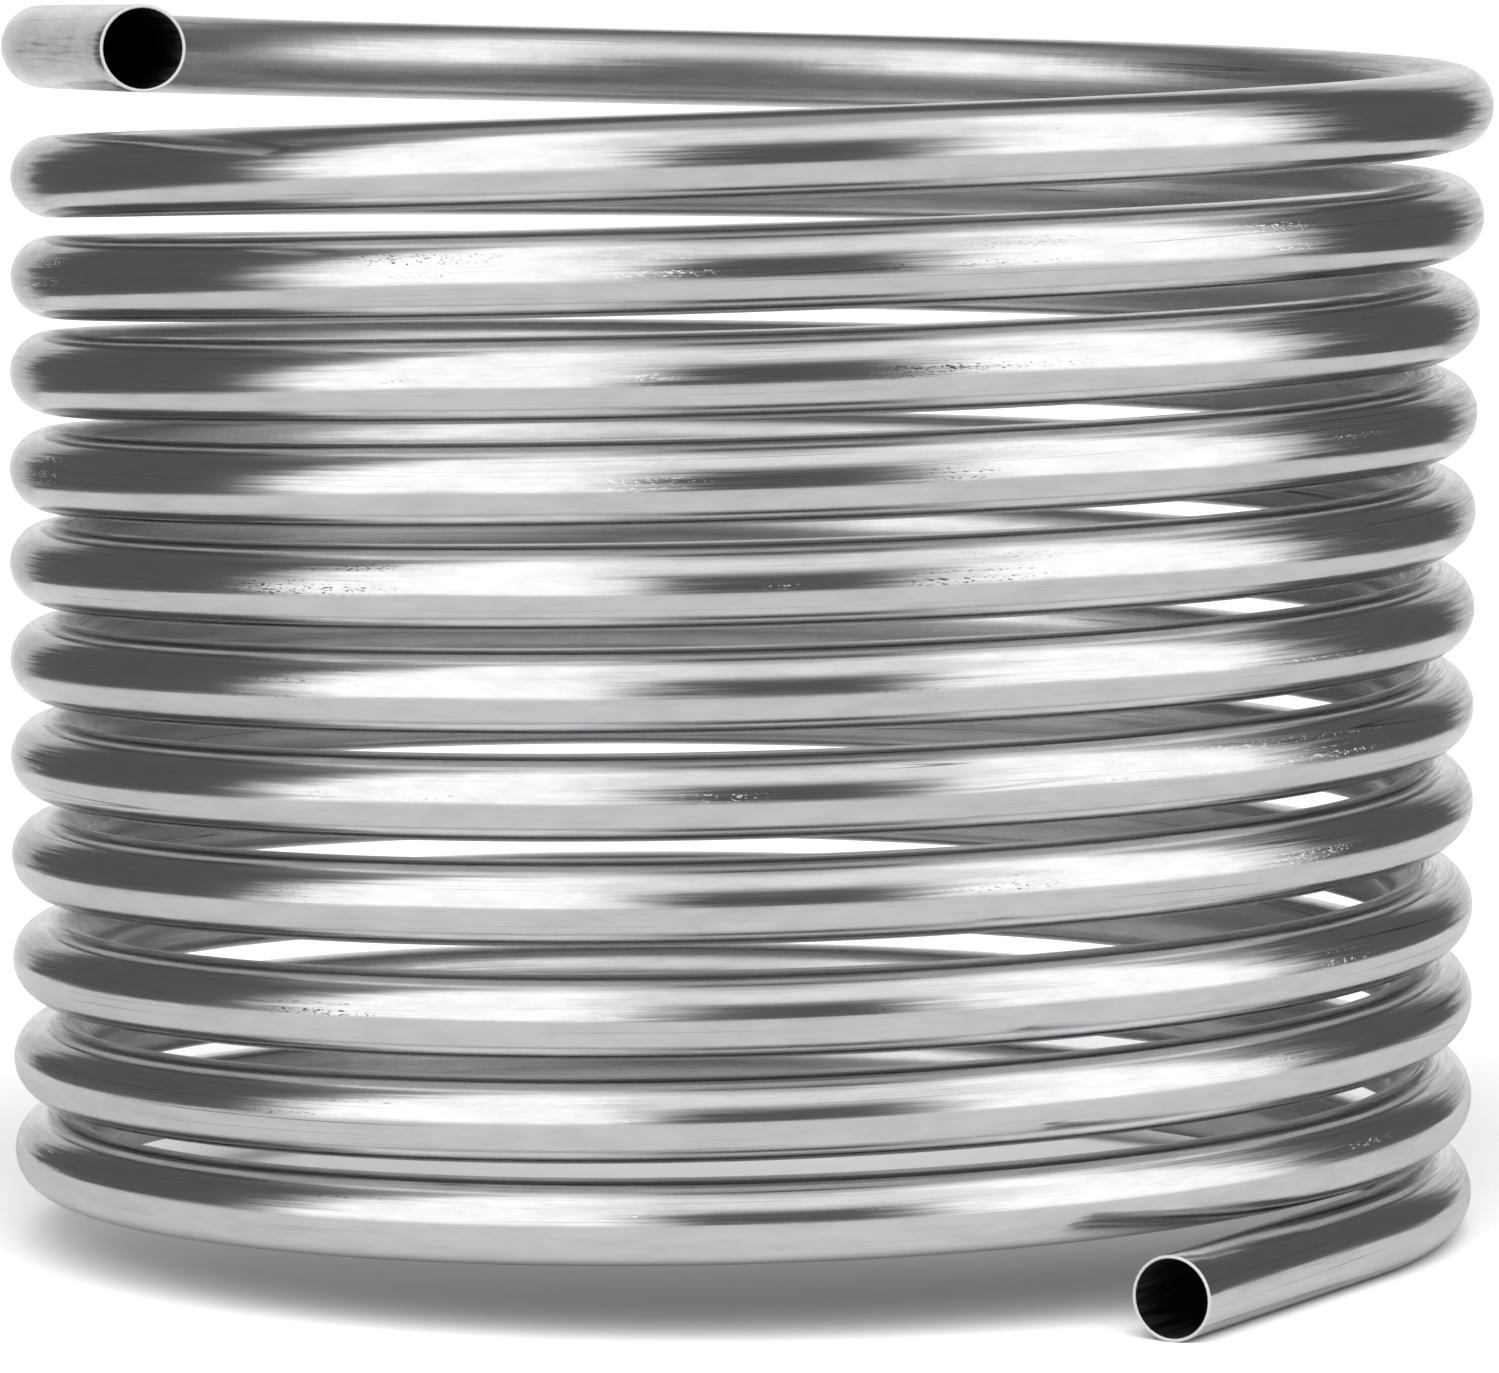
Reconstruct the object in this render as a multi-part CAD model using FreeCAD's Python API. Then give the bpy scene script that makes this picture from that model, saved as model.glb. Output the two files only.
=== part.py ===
import FreeCAD, Part
import math
import os

# A bare stainless tube wound into one open right-hand coil, in millimetres, +Z up.
# The coil stands on Z = 0 with its axis on Z. Seen from the front (-Y), the tube comes in
# level at the upper left, winds left, back, right, front, and leaves level at the lower right.

# Tube
tube_diameter = 12.7
tube_wall = 0.5

# Coil
coil_radius = 108.5          # coil axis to tube centre line, below the sprung top turns
turn_gap = 2.7               # clear height between one ordinary turn and the next
top_turn_stretch = 5.0       # the top turn is pulled up by this much more
unevenness = [               # how far each later half turn differs, as the coil was wound by hand
    -0.9, 1.0, -0.9, 0.3, -0.6, 0.3, -0.4, -0.4, 0.1, -0.5, 0.4,
    -0.6, 0.1, 0.0, 1.0, -0.2, -0.7, 0.9, -0.7, -0.2, 0.2,
]
top_spread = 2.3             # extra radius where the top turn has sprung open
top_spread_fade = 0.6        # turns over which that spread dies away
top_lean = 2.6               # sideways shift (+X) of the top of the coil
top_lean_fade = 2.7          # turns over which the lean dies away

# Where the tube leaves the coil, and the straight ends
leftmost_angle = 180.0       # bearing of the coil's left side, where winding is counted from
top_lead_angle = 17.0        # winding before the first leftmost point
bottom_lag_angle = 31.0      # winding past the last rightmost point
top_end_length = 62.0
bottom_end_length = 62.0

# How the tube is divided
bend_angle = 30.0            # nominal winding of one bend
bends_in_half_turn = 6

tube_radius = tube_diameter / 2
bore_radius = tube_radius - tube_wall
turn_pitch = tube_diameter + turn_gap
drops = [(turn_pitch + top_turn_stretch) / 2] * 2 + [turn_pitch / 2 + step for step in unevenness]


def height_lost(half_turns):
    """Height lost after this many half turns. The tube is level before the first and past the last."""
    if half_turns <= 0:
        return 0.0
    if half_turns >= len(drops):
        return sum(drops)
    whole = int(half_turns)
    drop = drops[whole]
    slope_in = (drops[max(whole - 1, 0)] + drop) / 2
    slope_out = (drop + drops[min(whole + 1, len(drops) - 1)]) / 2
    t = half_turns - whole
    eased = drop * t * t * (3 - 2 * t)
    eased += slope_in * t * (1 - t) ** 2 - slope_out * t * t * (1 - t)
    return sum(drops[:whole]) + eased


def corner(wound):
    """Corner of the polygon round the coil after this winding, in degrees, at height 0 at the top."""
    turns = max(wound / 360, 0.0)
    radius = coil_radius + top_spread * math.exp(-turns / top_spread_fade)
    radius /= math.cos(math.radians(bend_angle / 2))
    bearing = math.radians(leftmost_angle - wound)
    x = radius * math.cos(bearing) + top_lean * math.exp(-turns / top_lean_fade)
    return FreeCAD.Vector(x, radius * math.sin(bearing), -height_lost(wound / 180))


def level_direction(start, end):
    """Unit vector from start to end, kept level."""
    return FreeCAD.Vector(end.x - start.x, end.y - start.y, 0).normalize()


def coil_route():
    """Corners of the bends, and the direction of the run before each and after the last."""
    first = -top_lead_angle
    last = len(drops) * 180 + bottom_lag_angle
    count = round((last - first) / bend_angle)
    step = (last - first) / count
    corners = [corner(first + (i + 0.5) * step) for i in range(count)]
    beyond_top = corner(first - 0.5 * step)
    beyond_bottom = corner(last + 0.5 * step)
    lift = FreeCAD.Vector(0, 0, tube_radius - corners[-1].z)
    corners = [point + lift for point in corners]
    runs = [level_direction(beyond_top, corners[0])]
    runs += [(b - a).normalize() for a, b in zip(corners, corners[1:])]
    runs.append(level_direction(corners[-1], beyond_bottom))
    return corners, runs


def bends(corners, runs):
    """Start, centre, axis and angle of each bend. The bends meet with no straight between them."""
    result = []
    reach = (corners[1] - corners[0]).Length / 2
    for i, point in enumerate(corners):
        before, after = runs[i], runs[i + 1]
        angle = before.getAngle(after)
        radius = reach / math.tan(angle / 2)
        axis = before.cross(after).normalize()
        start = point - before * reach
        centre = start + axis.cross(before).normalize() * radius
        result.append((start, centre, axis, math.degrees(angle), point + after * reach))
        if i + 1 < len(corners):
            reach = (corners[i + 1] - point).Length - reach
    return result


def tube_section(centre, direction):
    """Ring-shaped cross-section of the tube."""
    outer = Part.Face(Part.Wire(Part.makeCircle(tube_radius, centre, direction)))
    inner = Part.Face(Part.Wire(Part.makeCircle(bore_radius, centre, direction)))
    return outer.cut(inner).Faces[0]


def curved_walls(solid):
    """Faces of a swept bend, without the flat ones where it meets its neighbours."""
    return [face for face in solid.Faces if not isinstance(face.Surface, Part.Plane)]


def coil_bodies(route, section):
    """Every half turn of the coil: the walls of its bends, closed by a ring at each end."""
    half_turns = []
    for first in range(0, len(route), bends_in_half_turn):
        walls = [section]
        for start, centre, axis, angle, end in route[first:first + bends_in_half_turn]:
            walls += curved_walls(section.revolve(centre, axis, angle))
            section = section.rotated(centre, axis, angle)
        shell = Part.Shell(walls + [section])
        shell.sewShape()
        half_turns.append(Part.Solid(shell))
    return half_turns


def straight_end(start, direction, length):
    """Straight end of the tube."""
    return tube_section(start, direction).extrude(direction * length)


def save(shape, name):
    """Write one sub-part, and say what it holds."""
    solids = shape.Solids
    if len(solids) != 1 or not solids[0].isValid():
        raise ValueError(name + " is not one valid solid")
    solids[0].exportStep("parts/" + name + ".step")
    print(name, "volume", round(solids[0].Volume, 1))


os.makedirs("parts", exist_ok=True)
coil_corners, corner_runs = coil_route()
coil_bends = bends(coil_corners, corner_runs)
top_direction = -corner_runs[0]
top_start = coil_bends[0][0]
bottom_direction = corner_runs[-1]
bottom_start = coil_bends[-1][-1]

save(straight_end(top_start, top_direction, top_end_length), "top_end")
first_section = tube_section(top_start, corner_runs[0])
for number, half_turn in enumerate(coil_bodies(coil_bends, first_section), 1):
    save(half_turn, "half_turn_%02d" % number)
save(straight_end(bottom_start, bottom_direction, bottom_end_length), "bottom_end")

for title, start, direction, length in (
    ("top end", top_start, top_direction, top_end_length),
    ("bottom end", bottom_start, bottom_direction, bottom_end_length),
):
    print(title, "from", start, "to", start + direction * length, "along", direction)
arc_length = sum(
    math.radians(angle) * (start - centre).Length for start, centre, axis, angle, end in coil_bends
)
print("tube length", round(arc_length + top_end_length + bottom_end_length, 1))
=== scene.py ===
import bpy
import math
from mathutils import Matrix, Vector


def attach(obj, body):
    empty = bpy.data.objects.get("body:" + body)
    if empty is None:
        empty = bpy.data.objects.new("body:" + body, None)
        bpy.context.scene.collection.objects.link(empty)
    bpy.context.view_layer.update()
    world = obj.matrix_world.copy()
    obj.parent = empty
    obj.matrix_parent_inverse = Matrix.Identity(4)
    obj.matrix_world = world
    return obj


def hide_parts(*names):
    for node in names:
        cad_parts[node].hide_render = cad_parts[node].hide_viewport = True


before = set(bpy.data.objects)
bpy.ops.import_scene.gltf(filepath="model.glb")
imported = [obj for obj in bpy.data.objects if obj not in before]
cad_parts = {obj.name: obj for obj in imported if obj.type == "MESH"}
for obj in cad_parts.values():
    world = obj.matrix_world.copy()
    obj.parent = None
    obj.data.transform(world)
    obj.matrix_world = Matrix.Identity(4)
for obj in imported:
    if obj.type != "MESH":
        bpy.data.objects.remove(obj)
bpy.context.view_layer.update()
mm = 0.001               # one millimetre in Blender's metres


# node trees

def putNode(tree, kind, inputs=None, **settings):      # an input is a value, or a socket to link from
    made = tree.nodes.new(kind)
    for name, value in settings.items():
        setattr(made, name, value)
    for key, value in (inputs or {}).items():
        if isinstance(value, bpy.types.NodeSocket):
            tree.links.new(value, made.inputs[key])
        else:
            made.inputs[key].default_value = value
    return made


def maths(tree, operation, *values, clamp=False):
    made = putNode(tree, "ShaderNodeMath", dict(enumerate(values)), operation=operation, use_clamp=clamp)
    return made.outputs[0]


def vectorMaths(tree, operation, *values):
    made = putNode(tree, "ShaderNodeVectorMath", dict(enumerate(values)), operation=operation)
    return made.outputs["Value" if operation == "DOT_PRODUCT" else "Vector"]


def scaled(tree, vector, factor):
    made = putNode(tree, "ShaderNodeVectorMath", {0: vector, "Scale": factor}, operation="SCALE")
    return made.outputs["Vector"]


def ramp(tree, value, low, high, toLow=0.0, toHigh=1.0):      # smooth step from low to high
    inputs = {"Value": value, "From Min": low, "From Max": high, "To Min": toLow, "To Max": toHigh}
    return putNode(tree, "ShaderNodeMapRange", inputs, interpolation_type="SMOOTHSTEP").outputs[0]


def noise(tree, vector, scale, detail=2.0, roughness=0.5):
    inputs = {"Vector": vector, "Scale": scale, "Detail": detail, "Roughness": roughness}
    return putNode(tree, "ShaderNodeTexNoise", inputs).outputs[0]


def mixColour(tree, factor, first, second):
    return putNode(tree, "ShaderNodeMix", {0: factor, 6: first, 7: second}, data_type="RGBA").outputs[2]


def addToScene(name, data):
    made = bpy.data.objects.new(name, data)
    bpy.context.scene.collection.objects.link(made)
    return made


# camera

cameraSetup = {
    "distance": 1190.6 * mm,       # in front of the coil's axis
    "height": 192.1 * mm,          # level with the top turn
    "lens": 182.3,                 # millimetres, for the sensor below
    "sensor": 36.0,
    "nearest": 0.05,               # metres
    "farthest": 50.0,
    "down": 5.115,                 # degrees
    "right": 0.067,
    "roll": -0.328,
}


def makeCamera(setup):
    data = bpy.data.cameras.new("camera")
    data.lens = setup["lens"]
    data.sensor_width = setup["sensor"]
    data.clip_start = setup["nearest"]
    data.clip_end = setup["farthest"]
    camera = addToScene("camera", data)
    turned = Matrix.Rotation(math.radians(-setup["right"]), 4, "Z")
    tilted = Matrix.Rotation(math.radians(90 - setup["down"]), 4, "X")
    rolled = Matrix.Rotation(math.radians(setup["roll"]), 4, "Z")
    place = Matrix.Translation((0, -setup["distance"], setup["height"]))
    camera.matrix_world = place @ turned @ tilted @ rolled
    bpy.context.scene.camera = camera


makeCamera(cameraSetup)
print("camera placed")


# the coil's centre line, with the same sizes as the frame's solids

coil = {
    "tubeRadius": 6.35 * mm,
    "wall": 0.5 * mm,
    "radius": 108.5 * mm,
    "pitch": 15.4 * mm,
    "topStretch": 5.0 * mm,        # how much more the top turn is pulled up
    "unevenness": [                # how far each later half turn differs, in millimetres
        -0.9, 1.0, -0.9, 0.3, -0.6, 0.3, -0.4, -0.4, 0.1, -0.5, 0.4,
        -0.6, 0.1, 0.0, 1.0, -0.2, -0.7, 0.9, -0.7, -0.2, 0.2,
    ],
    "spread": 2.3 * mm,            # extra radius where the top turn has sprung open
    "spreadFade": 0.6,             # turns over which that dies away
    "lean": 2.6 * mm,              # sideways shift of the top of the coil
    "leanFade": 2.7,               # turns over which that dies away
    "leftmost": 180.0,             # bearing that winding is counted from, in degrees
    "leadAngle": 17.0,             # winding before the first leftmost point
    "lagAngle": 31.0,              # winding past the last rightmost point
    "topEnd": 62.0 * mm,
    "bottomEnd": 62.0 * mm,
    "ringsPerTurn": 120,
    "rimRings": 4,                 # rings round each rim
    "sides": 40,
    "wobble": 0.3 * mm,            # how far the tube wanders inwards as it goes round
    "wobbleLength": 90 * mm,
    "rimShare": 0.45,              # of the wall, measured back from the end, that counts as rim
    "mergeGap": 0.002 * mm,        # closes the two walls where they meet
}
drops = [(coil["pitch"] + coil["topStretch"]) / 2] * 2
drops += [coil["pitch"] / 2 + step * mm for step in coil["unevenness"]]


def heightLost(halfTurns):         # eased, so that the slope has no sudden change
    if halfTurns <= 0:
        return 0.0
    if halfTurns >= len(drops):
        return sum(drops)
    whole = int(halfTurns)
    drop = drops[whole]
    slopeIn = (drops[max(whole - 1, 0)] + drop) / 2
    slopeOut = (drop + drops[min(whole + 1, len(drops) - 1)]) / 2
    t = halfTurns - whole
    eased = drop * t * t * (3 - 2 * t) + slopeIn * t * (1 - t) ** 2 - slopeOut * t * t * (1 - t)
    return sum(drops[:whole]) + eased


def coilPoint(wound):              # degrees of winding from the first leftmost point
    turns = max(wound / 360, 0.0)
    radius = coil["radius"] + coil["spread"] * math.exp(-turns / coil["spreadFade"])
    bearing = math.radians(coil["leftmost"] - wound)
    x = radius * math.cos(bearing) + coil["lean"] * math.exp(-turns / coil["leanFade"])
    z = coil["tubeRadius"] + sum(drops) - heightLost(wound / 180)
    return Vector((x, radius * math.sin(bearing), z))


def levelRun(start, inner, length, spacing):      # out along a straight end, with closer points at its rim
    away = start - inner
    away.z = 0
    away.normalize()
    rim = coil["wall"] / 2
    plain = length - rim
    steps = round(plain / spacing)
    rings = coil["rimRings"]
    reach = [plain * (i + 1) / steps for i in range(steps)]
    reach += [plain + rim * math.sin(math.pi / 2 * i / rings) for i in range(1, rings + 1)]
    return [start + away * r for r in reach]


def centreLine():
    first = -coil["leadAngle"]
    last = len(drops) * 180 + coil["lagAngle"]
    count = round((last - first) / 360 * coil["ringsPerTurn"])
    points = [coilPoint(first + (last - first) * i / count) for i in range(count + 1)]
    spacing = (points[1] - points[0]).length
    top = levelRun(points[0], coilPoint(first + 1), coil["topEnd"], spacing)
    bottom = levelRun(points[-1], coilPoint(last - 1), coil["bottomEnd"], spacing)
    return top[::-1] + points + bottom


# marks on the steel, in the tube's own space of (outwards, up, along), in millimetres

def newGroup(name, sizes, outcome):      # reads the tube's own space, and gives one value
    tree = bpy.data.node_groups.new(name, "ShaderNodeTree")
    sockets = tree.interface
    sockets.new_socket("Tube Space", in_out="INPUT", socket_type="NodeSocketVector")
    for title, value in sizes.items():
        sockets.new_socket(title, in_out="INPUT", socket_type="NodeSocketFloat").default_value = value
    sockets.new_socket(outcome, in_out="OUTPUT", socket_type="NodeSocketFloat")
    return tree, putNode(tree, "NodeGroupInput").outputs, putNode(tree, "NodeGroupOutput").inputs[outcome]


# noise in cells that are across wide and along long
def drawnNoise(tree, space, across, along, detail=1.0, roughness=0.5):
    squeeze = maths(tree, "DIVIDE", 1.0, across)
    stretch = maths(tree, "DIVIDE", 1.0, along)
    scale = putNode(tree, "ShaderNodeCombineXYZ", {0: squeeze, 1: squeeze, 2: stretch}).outputs[0]
    return noise(tree, vectorMaths(tree, "MULTIPLY", space, scale), 1.0, detail, roughness)


drawLineSizes = {
    "Spacing": 0.3,
    "Length": 30.0,
}
drawLineDetail = (4.0, 0.6)        # the noise's detail and roughness


def makeDrawLines():               # fine lines left by the drawing die
    tree, given, height = newGroup("drawLines", drawLineSizes, "Height")
    lines = drawnNoise(tree, given["Tube Space"], given["Spacing"], given["Length"], *drawLineDetail)
    tree.links.new(lines, height)
    return tree


scratchSizes = {
    "Spacing": 4.0,
    "Length": 450.0,
    "Width": 0.006,                # of the noise's range
    "Patch Width": 9.0,
    "Patch Length": 70.0,
    "Share": 0.5,                  # level of the patches past which scratches show
    "Fade": 0.08,
}


def makeScratches():               # sparse long hairlines, as thin contours of a stretched noise
    tree, given, mask = newGroup("scratches", scratchSizes, "Mask")
    space = given["Tube Space"]
    level = drawnNoise(tree, space, given["Spacing"], given["Length"])
    level = maths(tree, "ABSOLUTE", maths(tree, "SUBTRACT", level, 0.5))
    line = ramp(tree, level, given["Width"], 0.0)
    patches = drawnNoise(tree, space, given["Patch Width"], given["Patch Length"])
    shown = ramp(tree, patches, given["Share"], maths(tree, "ADD", given["Share"], given["Fade"]))
    tree.links.new(maths(tree, "MULTIPLY", line, shown), mask)
    return tree


tickSizes = {
    "Row Width": 1.1,
    "Row Length": 400.0,
    "Pit Width": 0.2,
    "Pit Length": 0.7,
    "Patch Width": 30.0,
    "Patch Length": 24.0,
}
tickLimits = {                     # where each part starts to show, and where it's full
    "rows": (0.5, 0.6),            # noise levels
    "patches": (0.48, 0.62),
    "pits": (0.56, 0.7),
    "bandBottom": (-1.5, 0.2),     # up from the centre line
    "bandTop": (4.2, 2.6),
    "outerSide": (0.5, 2.5),       # outwards from the centre line
}


def makeTickRows():                # rows of tiny pits where the bending rollers ran, on the outer shoulder
    tree, given, mask = newGroup("tickRows", tickSizes, "Mask")
    space = given["Tube Space"]
    rows = drawnNoise(tree, space, given["Row Width"], given["Row Length"])
    pits = drawnNoise(tree, space, given["Pit Width"], given["Pit Length"])
    patches = drawnNoise(tree, space, given["Patch Width"], given["Patch Length"])
    parts = putNode(tree, "ShaderNodeSeparateXYZ", {0: space}).outputs
    readings = {"rows": rows, "patches": patches, "pits": pits,
                "bandBottom": parts[1], "bandTop": parts[1], "outerSide": parts[0]}
    shown = 1.0
    for name, reading in readings.items():
        shown = maths(tree, "MULTIPLY", ramp(tree, reading, *tickLimits[name]), shown)
    tree.links.new(shown, mask)
    return tree


drawLines = makeDrawLines()
scratches = makeScratches()
tickRows = makeTickRows()


# steel

def newMaterial(name, metallic):
    material = bpy.data.materials.new(name)
    material.use_nodes = True
    shader = material.node_tree.nodes["Principled BSDF"]
    shader.inputs["Metallic"].default_value = metallic
    return material, material.node_tree, shader


def tubeSpace(tree):
    return putNode(tree, "ShaderNodeAttribute", attribute_name="tubeSpace").outputs["Vector"]


def marks(tree, group, space, spacing=None, length=None):
    sizes = {"Tube Space": space}
    if spacing:
        sizes.update({"Spacing": spacing, "Length": length})
    return putNode(tree, "ShaderNodeGroup", sizes, node_tree=group).outputs[0]


def tipped(tree, normal, tilt):    # the normal tipped along the tube, which runs round the coil's axis
    place = putNode(tree, "ShaderNodeTexCoord").outputs["Object"]
    along = vectorMaths(tree, "NORMALIZE", vectorMaths(tree, "CROSS_PRODUCT", place, (0.0, 0.0, 1.0)))
    return vectorMaths(tree, "NORMALIZE", vectorMaths(tree, "ADD", normal, scaled(tree, along, tilt)))


steelLook = {
    "metallic": 1.0,
    "colour": (0.62, 0.62, 0.63, 1),
    "dullColour": (0.55, 0.55, 0.56, 1),
    "lineColour": (0.2, 0.2, 0.21, 1),
    "dullLevels": (0.35, 0.75),    # of the mottle, from one colour to the other
    "lineLevels": (0.58, 0.78),    # of the fine lines, from unseen to seen
    "lineShare": 0.45,             # how much of the line colour they take
    "tickShare": 0.15,
    "roughness": 0.12,
    "roughnessSpread": 0.09,
    "roughnessLevels": (0.35, 0.65),
    "streakPart": 0.6,             # of the streaks in the roughness, beside the mottle
    "mottlePart": 0.4,
    "innerRoughness": 0.14,        # added on the side towards the coil's axis
    "innerSide": (1.0, -3.5),      # outwards from the centre line, where that side starts and is full
    "fineLines": (0.25, 30.0),     # spacing and length
    "broadLines": (1.5, 160.0),
    "streaks": (0.5, 20.0),
    "mottle": (2.5, 9.0, 4.0, 0.65),        # width, length, detail, roughness of the noise
    "wrinkles": (6.0, 3.0, 2.0),
    "fineHeight": 0.003 * mm,      # bump distances
    "broadHeight": 0.02 * mm,
    "wrinkleHeight": 0.05 * mm,    # on the inner side of the bend
    "streakTilt": 0.10,            # how far the surface tips along the tube, from one draw line to the next
    "tickTilt": 0.24,
}


def makeSteel(look):
    material, tree, shader = newMaterial("drawnStainless", look["metallic"])
    space = tubeSpace(tree)
    outwards = putNode(tree, "ShaderNodeSeparateXYZ", {0: space}).outputs[0]
    inside = ramp(tree, outwards, *look["innerSide"])
    fine = marks(tree, drawLines, space, *look["fineLines"])
    broad = marks(tree, drawLines, space, *look["broadLines"])
    streaks = marks(tree, drawLines, space, *look["streaks"])
    hairs = marks(tree, scratches, space)
    ticks = marks(tree, tickRows, space)
    mottle = drawnNoise(tree, space, *look["mottle"])
    wrinkles = maths(tree, "MULTIPLY", drawnNoise(tree, space, *look["wrinkles"]), inside)

    colour = mixColour(tree, ramp(tree, mottle, *look["dullLevels"]), look["colour"], look["dullColour"])
    lineMask = ramp(tree, fine, *look["lineLevels"], 0.0, look["lineShare"])
    colour = mixColour(tree, lineMask, colour, look["lineColour"])
    markMask = maths(tree, "MAXIMUM", hairs, maths(tree, "MULTIPLY", ticks, look["tickShare"]))
    colour = mixColour(tree, markMask, colour, look["lineColour"])
    tree.links.new(colour, shader.inputs["Base Color"])

    smoothest = look["roughness"]
    roughest = smoothest + look["roughnessSpread"]
    streakPart = maths(tree, "MULTIPLY", streaks, look["streakPart"])
    mottlePart = maths(tree, "MULTIPLY", mottle, look["mottlePart"])
    blend = maths(tree, "ADD", streakPart, mottlePart)
    rough = ramp(tree, blend, *look["roughnessLevels"], smoothest, roughest)
    rough = maths(tree, "ADD", rough, maths(tree, "MULTIPLY", inside, look["innerRoughness"]))
    tree.links.new(rough, shader.inputs["Roughness"])

    height = maths(tree, "MULTIPLY", fine, look["fineHeight"])
    height = maths(tree, "ADD", height, maths(tree, "MULTIPLY", broad, look["broadHeight"]))
    height = maths(tree, "ADD", height, maths(tree, "MULTIPLY", wrinkles, look["wrinkleHeight"]))
    bump = putNode(tree, "ShaderNodeBump", {"Height": height, "Distance": 1.0, "Strength": 1.0}).outputs[0]
    tilt = maths(tree, "MULTIPLY", maths(tree, "SUBTRACT", streaks, 0.5), look["streakTilt"] * 2)
    tilt = maths(tree, "ADD", tilt, maths(tree, "MULTIPLY", ticks, look["tickTilt"]))
    tree.links.new(tipped(tree, bump, tilt), shader.inputs["Normal"])
    return material


# the bore's colours are far darker than the drawn wall's: painted shade inside the tube; its roughness gives
# the bore's duller finish
boreLook = {
    "metallic": 1.0,
    "colour": (0.26, 0.25, 0.24, 1),
    "darkColour": (0.10, 0.096, 0.09, 1),
    "roughness": (0.35, 0.6),
    "lines": (0.5, 20.0),
    "levels": (0.3, 0.7),
}


def makeBoreSteel(look):
    material, tree, shader = newMaterial("boreSteel", look["metallic"])
    lines = marks(tree, drawLines, tubeSpace(tree), *look["lines"])
    # the dark bore colours paint the shade inside the tube
    colour = mixColour(tree, lines, look["darkColour"], look["colour"])
    tree.links.new(colour, shader.inputs["Base Color"])
    tree.links.new(ramp(tree, lines, *look["levels"], *look["roughness"]), shader.inputs["Roughness"])
    return material


rimLook = {
    "metallic": 0.3,               # a sawn edge, duller than the drawn wall
    "colour": (0.56, 0.56, 0.56, 1),
    "darkColour": (0.36, 0.36, 0.36, 1),
    "roughness": (0.42, 0.6),
    "grain": (4.0, 3.0),           # scale per millimetre, and detail
    "levels": (0.3, 0.7),
}


def makeRimSteel(look):
    material, tree, shader = newMaterial("cutRim", look["metallic"])
    grain = noise(tree, tubeSpace(tree), *look["grain"])
    colour = mixColour(tree, grain, look["darkColour"], look["colour"])
    tree.links.new(colour, shader.inputs["Base Color"])
    tree.links.new(ramp(tree, grain, *look["levels"], *look["roughness"]), shader.inputs["Roughness"])
    return material


steel = makeSteel(steelLook)
boreSteel = makeBoreSteel(boreLook)
rimSteel = makeRimSteel(rimLook)
print("materials made")


# the tube, swept along its centre line

def sweep(tree, curve, sides, radius, scale):
    section = putNode(tree, "GeometryNodeCurvePrimitiveCircle", {"Resolution": sides, "Radius": radius})
    inputs = {"Curve": curve, "Profile Curve": section.outputs[0], "Scale": scale}
    return putNode(tree, "GeometryNodeCurveToMesh", inputs).outputs[0]


def giveMaterial(tree, shape, material, selection=True):
    inputs = {"Geometry": shape, "Selection": selection, "Material": material}
    return putNode(tree, "GeometryNodeSetMaterial", inputs).outputs[0]


def here(tree):
    return putNode(tree, "GeometryNodeInputPosition").outputs[0]


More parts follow.
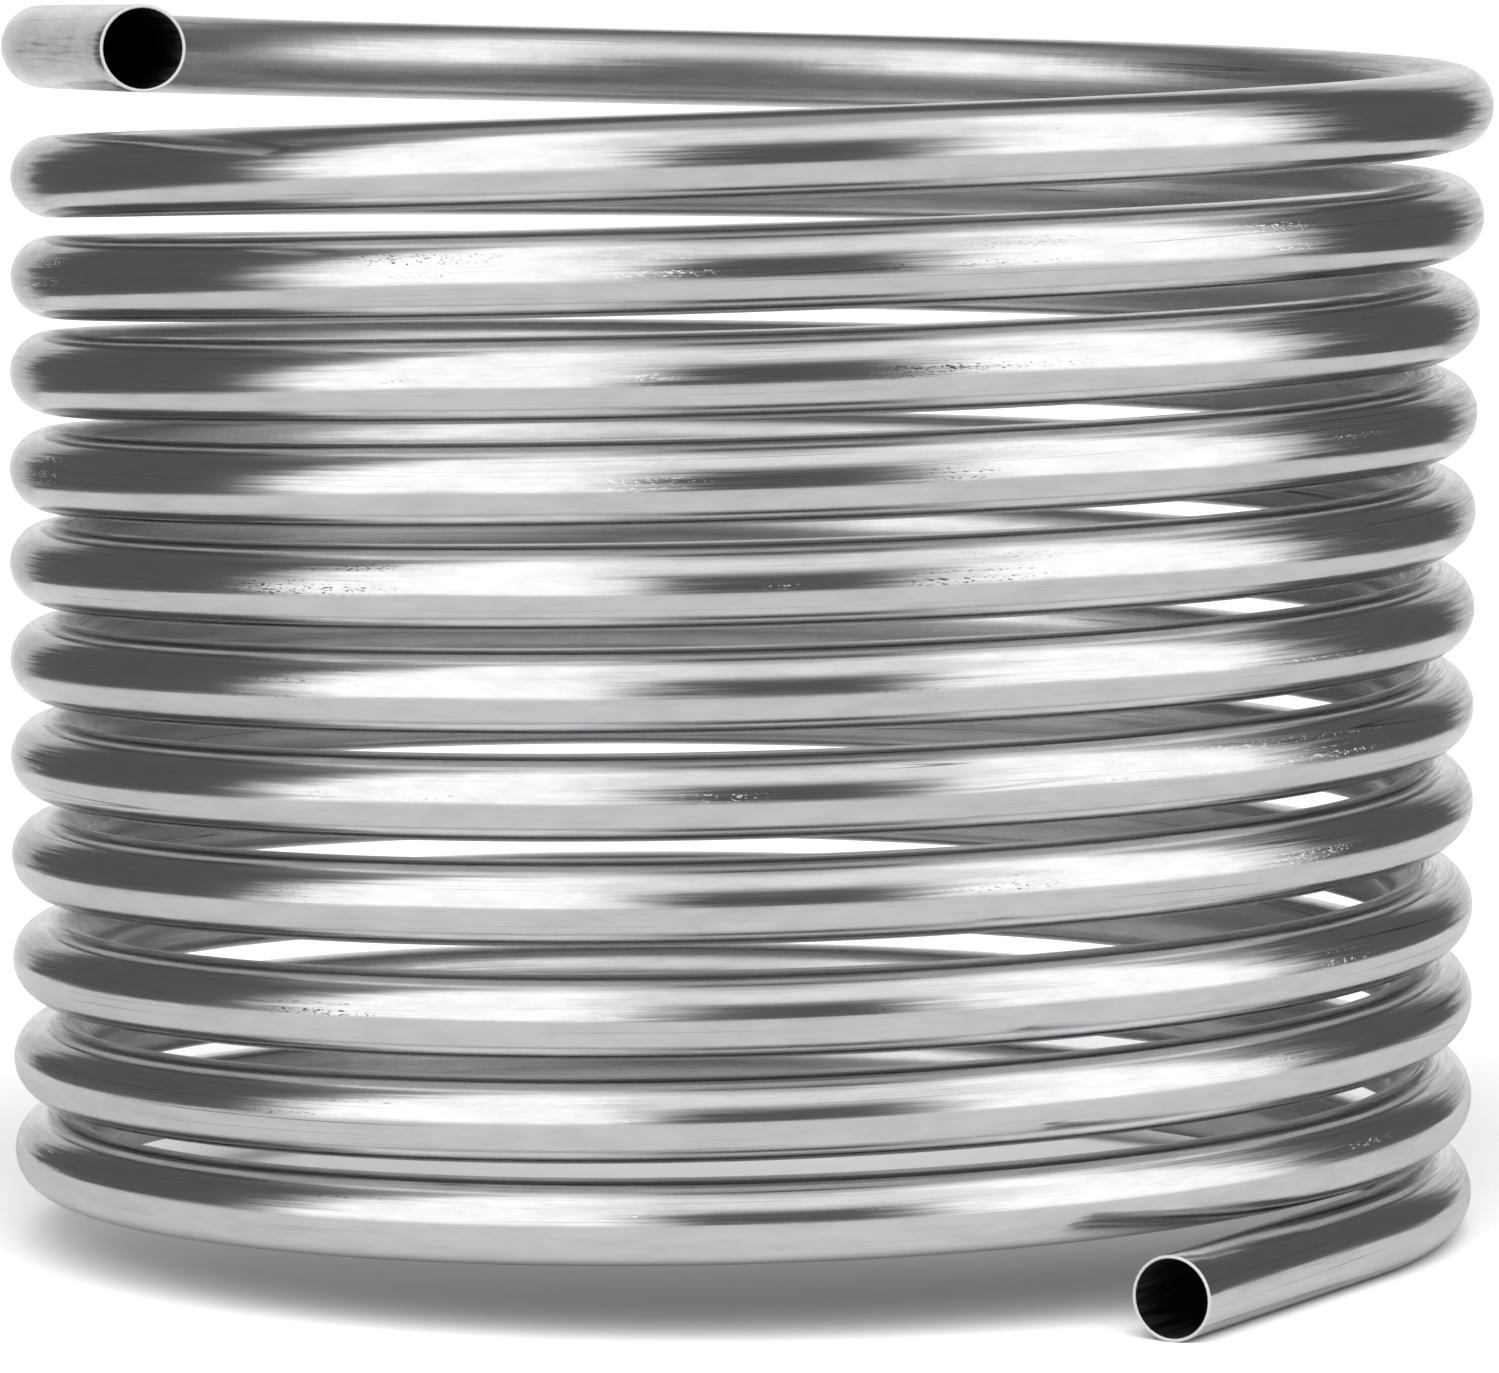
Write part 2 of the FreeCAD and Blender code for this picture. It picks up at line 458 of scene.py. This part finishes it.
def makeTubeTree():
    tree = bpy.data.node_groups.new("sweptTube", "GeometryNodeTree")
    tree.is_modifier = True
    sockets = tree.interface
    sockets.new_socket("Geometry", in_out="INPUT", socket_type="NodeSocketGeometry")
    for title in ("Tube Radius", "Wall", "Wobble", "Wobble Length", "Rim Share", "Merge Gap"):
        sockets.new_socket(title, in_out="INPUT", socket_type="NodeSocketFloat")
    sockets.new_socket("Sides", in_out="INPUT", socket_type="NodeSocketInt")
    for title in ("Steel", "Bore Steel", "Rim Steel"):
        sockets.new_socket(title, in_out="INPUT", socket_type="NodeSocketMaterial")
    sockets.new_socket("Geometry", in_out="OUTPUT", socket_type="NodeSocketGeometry")
    given = putNode(tree, "NodeGroupInput").outputs
    result = putNode(tree, "NodeGroupOutput").inputs
    outerRadius = given["Tube Radius"]
    wall = given["Wall"]

    # the line wanders a little towards the axis
    position = here(tree)
    inwards = vectorMaths(tree, "NORMALIZE", vectorMaths(tree, "MULTIPLY", position, (-1.0, -1.0, 0.0)))
    wave = noise(tree, position, maths(tree, "DIVIDE", 1.0, given["Wobble Length"]), 1.0)
    shift = scaled(tree, inwards, maths(tree, "MULTIPLY", wave, given["Wobble"]))
    line = putNode(tree, "GeometryNodeSetPosition", {"Geometry": given["Geometry"], "Offset": shift})
    line = putNode(tree, "GeometryNodeMeshToCurve", {"Mesh": line.outputs[0]})
    line = putNode(tree, "GeometryNodeSetCurveNormal", {"Curve": line.outputs[0]}, mode="Z_UP")

    # what each ring keeps of the line: how far along it is, how far from an end, and its middle
    ring = tree.nodes.new("GeometryNodeCaptureAttribute")
    ring.domain = "POINT"
    ring.capture_items.new("FLOAT", "along")
    ring.capture_items.new("FLOAT", "fromEnd")
    ring.capture_items.new("VECTOR", "middle")
    along = putNode(tree, "GeometryNodeSplineParameter").outputs["Length"]
    whole = putNode(tree, "GeometryNodeSplineLength").outputs["Length"]
    nearer = maths(tree, "MINIMUM", along, maths(tree, "SUBTRACT", whole, along))
    tree.links.new(line.outputs[0], ring.inputs["Geometry"])
    tree.links.new(along, ring.inputs["along"])
    tree.links.new(nearer, ring.inputs["fromEnd"])
    tree.links.new(here(tree), ring.inputs["middle"])
    fromEnd = ring.outputs["fromEnd"]
    middle = ring.outputs["middle"]

    # both walls round over to meet at the rim
    halfWall = maths(tree, "MULTIPLY", wall, 0.5)
    past = maths(tree, "SUBTRACT", 1.0, maths(tree, "DIVIDE", fromEnd, halfWall), clamp=True)
    depth = maths(tree, "SUBTRACT", 1.0, maths(tree, "MULTIPLY", past, past), clamp=True)
    inset = maths(tree, "MULTIPLY", halfWall, maths(tree, "SUBTRACT", 1.0, maths(tree, "SQRT", depth)))
    boreRadius = maths(tree, "SUBTRACT", outerRadius, wall)
    outerScale = maths(tree, "DIVIDE", maths(tree, "SUBTRACT", outerRadius, inset), outerRadius)
    innerScale = maths(tree, "DIVIDE", maths(tree, "ADD", boreRadius, inset), boreRadius)
    outer = sweep(tree, ring.outputs["Geometry"], given["Sides"], outerRadius, outerScale)

    # the bore has half as many rings, except round the rim
    index = putNode(tree, "GeometryNodeInputIndex").outputs[0]
    everySecond = maths(tree, "MODULO", index, 2.0)
    spare = maths(tree, "MULTIPLY", everySecond, maths(tree, "GREATER_THAN", fromEnd, wall))
    fewer = putNode(tree, "GeometryNodeDeleteGeometry",
                    {"Geometry": ring.outputs["Geometry"], "Selection": spare}, domain="POINT").outputs[0]
    inner = sweep(tree, fewer, given["Sides"], boreRadius, innerScale)
    inner = putNode(tree, "GeometryNodeFlipFaces", {"Mesh": inner}).outputs[0]
    inner = putNode(tree, "GeometryNodeStoreNamedAttribute",
                    {"Geometry": inner, "Name": "isBore", "Value": 1.0},
                    data_type="FLOAT", domain="FACE").outputs[0]
    joined = tree.nodes.new("GeometryNodeJoinGeometry")
    tree.links.new(inner, joined.inputs[0])
    tree.links.new(outer, joined.inputs[0])
    shape = putNode(tree, "GeometryNodeMergeByDistance",
                    {"Geometry": joined.outputs[0], "Distance": given["Merge Gap"]}).outputs[0]

    # the tube's own space for the materials, in millimetres
    offset = vectorMaths(tree, "SUBTRACT", here(tree), middle)
    outwards = vectorMaths(tree, "NORMALIZE", vectorMaths(tree, "MULTIPLY", middle, (1.0, 1.0, 0.0)))
    out = vectorMaths(tree, "DOT_PRODUCT", offset, outwards)
    up = putNode(tree, "ShaderNodeSeparateXYZ", {0: offset}).outputs[2]
    own = putNode(tree, "ShaderNodeCombineXYZ", {0: out, 1: up, 2: ring.outputs["along"]}).outputs[0]
    own = vectorMaths(tree, "MULTIPLY", own, (1 / mm, 1 / mm, 1 / mm))
    shape = putNode(tree, "GeometryNodeStoreNamedAttribute",
                    {"Geometry": shape, "Name": "tubeSpace", "Value": own},
                    data_type="FLOAT_VECTOR", domain="POINT").outputs[0]

    shape = putNode(tree, "GeometryNodeSetShadeSmooth", {"Geometry": shape}).outputs[0]
    shape = putNode(tree, "GeometryNodeRealizeInstances", {"Geometry": shape}).outputs[0]
    isBore = putNode(tree, "GeometryNodeInputNamedAttribute", {"Name": "isBore"},
                     data_type="FLOAT").outputs[0]
    atRim = maths(tree, "LESS_THAN", fromEnd, maths(tree, "MULTIPLY", wall, given["Rim Share"]))
    shape = giveMaterial(tree, shape, given["Steel"])
    shape = giveMaterial(tree, shape, given["Bore Steel"], maths(tree, "GREATER_THAN", isBore, 0.5))
    shape = giveMaterial(tree, shape, given["Rim Steel"], atRim)
    tree.links.new(shape, result["Geometry"])
    return tree


def makeTube():
    points = centreLine()
    mesh = bpy.data.meshes.new("centreLine")
    mesh.from_pydata(points, [(i, i + 1) for i in range(len(points) - 1)], [])
    line = addToScene("centreLine", mesh)
    tree = makeTubeTree()
    modifier = line.modifiers.new("sweptTube", "NODES")
    modifier.node_group = tree
    sockets = {item.name: item.identifier for item in tree.interface.items_tree if item.in_out == "INPUT"}
    values = {
        "Tube Radius": coil["tubeRadius"], "Wall": coil["wall"], "Sides": coil["sides"],
        "Wobble": coil["wobble"], "Wobble Length": coil["wobbleLength"],
        "Rim Share": coil["rimShare"], "Merge Gap": coil["mergeGap"],
        "Steel": steel, "Bore Steel": boreSteel, "Rim Steel": rimSteel,
    }
    for name, value in values.items():
        modifier[sockets[name]] = value
    bpy.context.view_layer.update()
    shape = bpy.data.meshes.new_from_object(line.evaluated_get(bpy.context.evaluated_depsgraph_get()))
    shape.name = "coilTube"
    piece = addToScene("coilTube", shape)
    bpy.data.objects.remove(line)
    return piece


tube = makeTube()
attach(tube, "root")
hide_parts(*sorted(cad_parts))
print("tube swept:", len(tube.data.vertices), "vertices,", len(tube.data.polygons), "faces")


# floor and the light on it

stage = {
    "floorHalf": 30.0,             # metres
    "floorShade": 0.9,
    "tableHalf": 0.42,             # the part of the floor that the steel reflects
    # darker than the floor: painted shade on the floor as the steel reflects it
    "tableShade": 0.6,
    "tableHeight": 0.05 * mm,      # just clear of the floor
    "roughness": 0.8,
    "grainScale": 40.0,
    "grainSpread": 1.02,           # how much paler the grain gets
    "lightStrength": 3.2,
    "lightSpread": 58.0,           # degrees, for a soft shadow
    "lightTilt": (45.0, 0.0, 0.0),          # degrees; it comes from the front, so the coil shades its inside
}


def makeFloor(name, half, height, shade):
    material, tree, shader = newMaterial(name, 0.0)
    shader.inputs["Roughness"].default_value = stage["roughness"]
    grain = noise(tree, putNode(tree, "ShaderNodeTexCoord").outputs["Object"], stage["grainScale"])
    paler = shade * stage["grainSpread"]
    colour = mixColour(tree, grain, (shade, shade, shade, 1), (paler, paler, paler, 1))
    tree.links.new(colour, shader.inputs["Base Color"])
    mesh = bpy.data.meshes.new(name)
    corners = [(-half, -half, height), (half, -half, height), (half, half, height), (-half, half, height)]
    mesh.from_pydata(corners, [], [(0, 1, 2, 3)])
    mesh.materials.append(material)
    made = addToScene(name, mesh)
    return made


floor = makeFloor("floor", stage["floorHalf"], 0, stage["floorShade"])
floor.visible_glossy = False
# the table: a darker copy of the floor that only the steel's reflections see, so painted shade on the
# reflected floor
table = makeFloor("table", stage["tableHalf"], stage["tableHeight"], stage["tableShade"])
table.visible_camera = False
table.visible_diffuse = False
table.visible_shadow = False

light = bpy.data.lights.new("frontLight", "SUN")
light.energy = stage["lightStrength"]
light.angle = math.radians(stage["lightSpread"])
lamp = addToScene("frontLight", light)
lamp.rotation_euler = [math.radians(turn) for turn in stage["lightTilt"]]
lamp.visible_glossy = False


# studio: soft panels round the coil, as the steel sees them

# each: bearing from and to, elevation from and to, and soft edge, in degrees; then its strength
# bearings start at the front, and right is positive
panels = {
    "left": (-76, -16, -24, 72, 22, 1.65),
    "right": (30, 92, -24, 72, 24, 1.65),
    "above": (-30, 50, 32, 72, 22, 1.15),
    "behindLeft": (-200, -149, -90, 34, 10, 0.68),
    "behindRight": (150, 200, -90, 34, 12, 0.68),
    "backdropLeft": (-200, -164, -90, 22, 10, 0.9),
    "backdropRight": (164, 200, -90, 22, 10, 0.9),
}
studio = {
    "dark": 0.125,                 # between the panels
    "seen": 1.0,                   # what the camera sees past the floor
    "floorGlow": 0.9,
    "floorEdge": (-21, -27),       # elevation below which the steel sees that glow
    "ceiling": 0.5,                # one panel overhead, placed by its slopes away from upright
    "ceilingForward": (-0.5, 0.42, 0.25),   # from, to, edge
    "ceilingSideways": (-0.7, 1.2, 0.9),
    "ceilingRise": (0.3, 0.5),     # height of the ray where it starts and is full
    "lowestRay": 0.05,             # keeps the slopes finite
}


def band(tree, value, low, high, edge):      # one between low and high, with soft edges
    rising = ramp(tree, value, low - edge / 2, low + edge / 2)
    return maths(tree, "MULTIPLY", rising, ramp(tree, value, high + edge / 2, high - edge / 2))


def lighten(tree, glow, mask, strength):
    return putNode(tree, "ShaderNodeMix", {0: mask, 2: glow, 3: strength}, data_type="FLOAT").outputs[0]


def makeWorld():
    world = bpy.data.worlds.new("studio")
    bpy.context.scene.world = world
    world.use_nodes = True
    tree = world.node_tree
    tree.nodes.clear()
    ray = putNode(tree, "ShaderNodeTexCoord").outputs["Generated"]
    parts = putNode(tree, "ShaderNodeSeparateXYZ", {0: ray}).outputs
    bearing = maths(tree, "ARCTAN2", parts[0], maths(tree, "MULTIPLY", parts[1], -1.0))
    bearing = maths(tree, "DEGREES", bearing)
    rise = maths(tree, "DEGREES", maths(tree, "ARCSINE", parts[2]))
    glow = lighten(tree, studio["dark"], ramp(tree, rise, *studio["floorEdge"]), studio["floorGlow"])

    height = maths(tree, "MAXIMUM", parts[2], studio["lowestRay"])
    forward = band(tree, maths(tree, "DIVIDE", parts[1], height), *studio["ceilingForward"])
    sideways = band(tree, maths(tree, "DIVIDE", parts[0], height), *studio["ceilingSideways"])
    overhead = maths(tree, "MULTIPLY", maths(tree, "MULTIPLY", forward, sideways),
                     ramp(tree, parts[2], *studio["ceilingRise"]))
    glow = lighten(tree, glow, overhead, studio["ceiling"])

    for low, high, bottom, top, edge, strength in panels.values():
        around = band(tree, bearing, low, high, edge)
        mask = maths(tree, "MULTIPLY", around, band(tree, rise, bottom, top, edge))
        glow = lighten(tree, glow, mask, strength)

    toCamera = putNode(tree, "ShaderNodeLightPath").outputs["Is Camera Ray"]
    glow = lighten(tree, glow, toCamera, studio["seen"])
    background = putNode(tree, "ShaderNodeBackground", {"Color": (1, 1, 1, 1), "Strength": glow})
    putNode(tree, "ShaderNodeOutputWorld", {"Surface": background.outputs[0]})


makeWorld()
bpy.context.scene.view_settings.view_transform = "Standard"
print("studio lit")
